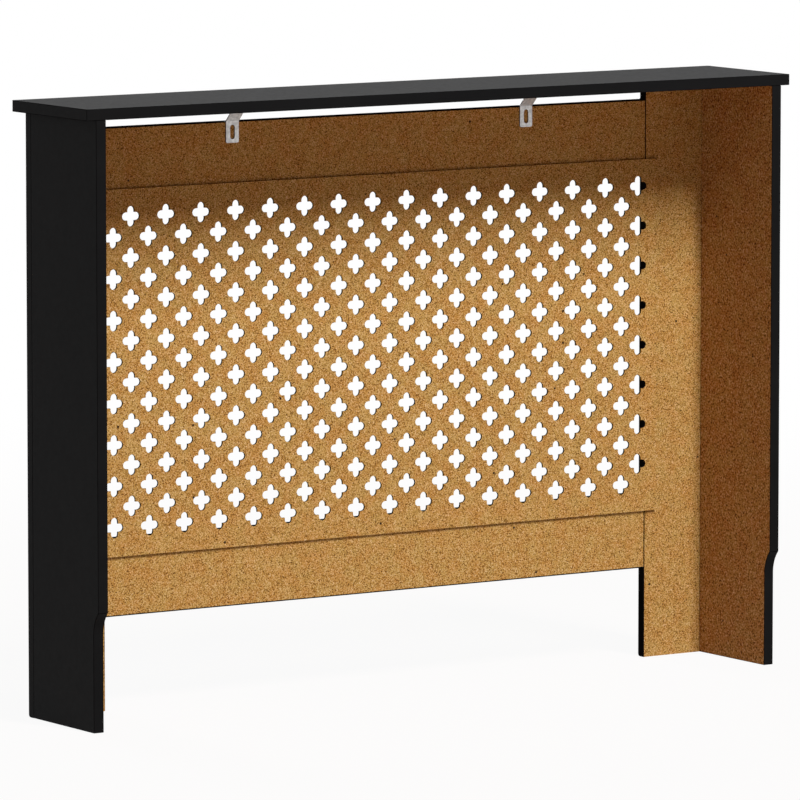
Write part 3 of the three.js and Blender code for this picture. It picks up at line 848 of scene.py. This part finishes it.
SURROUND = 1.0
AMBIENT = 0.06
AMBIENT_TINT = (1.0, 0.82, 0.78, 1)
LAMP_TARGET = (0, 0, 0.4)
LAMPS = {
    "tall_lamp": ((-0.58, 4.87, 6.73), (0.55, 2.93), 0.25, 1.29),
    "front_lamp": ((0, -6.0, 1.0), (1.0, 1.0), 0.0, 0.8),
}
FLOOR_RADIUS = 7.0
FLOOR_SIDES = 96
FLOOR_COLOUR = (0.47, 0.37, 0.33, 1)
FLOOR_GLOW = 0.94
FLOOR_SHEEN_LEVEL = 0.1
FLOOR_FADE_START, FLOOR_FADE_END = 1.0, 3.5
CAMERA_PLACE = (5.685, 8.595, 1.598)
CAMERA_BACK = (0.54697, 0.82907, 0.11608)
CAMERA_LENS = 347.84
CAMERA_SENSOR = 36
CAMERA_CLIP_END = 100


def seen_directly(tree):
    """1 for rays from the camera, from gloss and through glass, and 0 for the light itself."""
    rays = add(tree, "LightPath").outputs
    gloss = sums(tree, "MAXIMUM", rays["Is Camera Ray"], rays["Is Glossy Ray"])
    return sums(tree, "MAXIMUM", gloss, rays["Is Transmission Ray"])


world = bpy.data.worlds.new("white_surround")
bpy.context.scene.world = world
world.use_nodes = True
tree = world.node_tree
tree.nodes.clear()
seen = seen_directly(tree)
strength = add(tree, "MapRange", {"Value": seen, "To Min": AMBIENT, "To Max": SURROUND})
tint = blend(tree, seen, AMBIENT_TINT, (1, 1, 1, 1))
sky = add(tree, "Background", {"Color": tint, "Strength": strength.outputs["Result"]})
tree.links.new(sky.outputs[0], tree.nodes.new("ShaderNodeOutputWorld").inputs["Surface"])

angle = np.linspace(0, 2 * math.pi, FLOOR_SIDES, endpoint=False)
rim = np.stack([FLOOR_RADIUS * np.cos(angle), FLOOR_RADIUS * np.sin(angle), 0 * angle], axis=1)
floor_finish, tree, surface, place = new_finish("pale_floor")
distance = add(tree, "VectorMath", {0: place}, operation="LENGTH").outputs["Value"]
fade = step_between(tree, distance, FLOOR_FADE_START, FLOOR_FADE_END)
glow = add(tree, "MapRange", {"Value": fade, "To Min": FLOOR_GLOW, "To Max": 1.0}).outputs["Result"]
white = add(tree, "Emission", {"Color": (1, 1, 1, 1), "Strength": SURROUND})
dust = add(tree, "TexNoise", {"Vector": place, "Scale": 30, "Detail": 3})
matt = add(tree, "MapRange", {"Value": dust.outputs[0], "To Min": 0.8, "To Max": 0.95}).outputs["Result"]
sockets = {"Base Color": FLOOR_COLOUR, "Roughness": matt, "Specular IOR Level": FLOOR_SHEEN_LEVEL}
paint = add(tree, "BsdfPrincipled", sockets)
share = sums(tree, "MULTIPLY", seen_directly(tree), glow)
mixed = add(tree, "MixShader", {0: share, 1: paint.outputs[0], 2: white.outputs[0]})
tree.links.new(mixed.outputs[0], surface)
floor = new_piece("floor", rim, [list(range(len(rim)))], [0], [floor_finish])

for name, (lamp_place, lamp_size, roll, level) in LAMPS.items():
    away = Vector(lamp_place) - Vector(LAMP_TARGET)
    lamp = bpy.data.lights.new(name, "AREA")
    lamp.shape = "RECTANGLE"
    lamp.size, lamp.size_y = lamp_size
    lamp.energy = level * math.pi**2 * away.length_squared
    lamp_object = bpy.data.objects.new(name, lamp)
    bpy.context.scene.collection.objects.link(lamp_object)
    turn = away.to_track_quat("Z", "Y") @ Quaternion((0, 0, 1), roll)
    lamp_object.rotation_euler = turn.to_euler()
    lamp_object.location = lamp_place
    lamp_object.visible_camera = False

camera = bpy.data.cameras.new("camera")
camera.lens = CAMERA_LENS
camera.sensor_width = CAMERA_SENSOR
camera.clip_end = CAMERA_CLIP_END
camera_object = bpy.data.objects.new("camera", camera)
bpy.context.scene.collection.objects.link(camera_object)
camera_object.location = CAMERA_PLACE
camera_object.rotation_euler = Vector(CAMERA_BACK).to_track_quat("Z", "Y").to_euler()
bpy.context.scene.camera = camera_object
bpy.context.scene.view_settings.view_transform = "Standard"
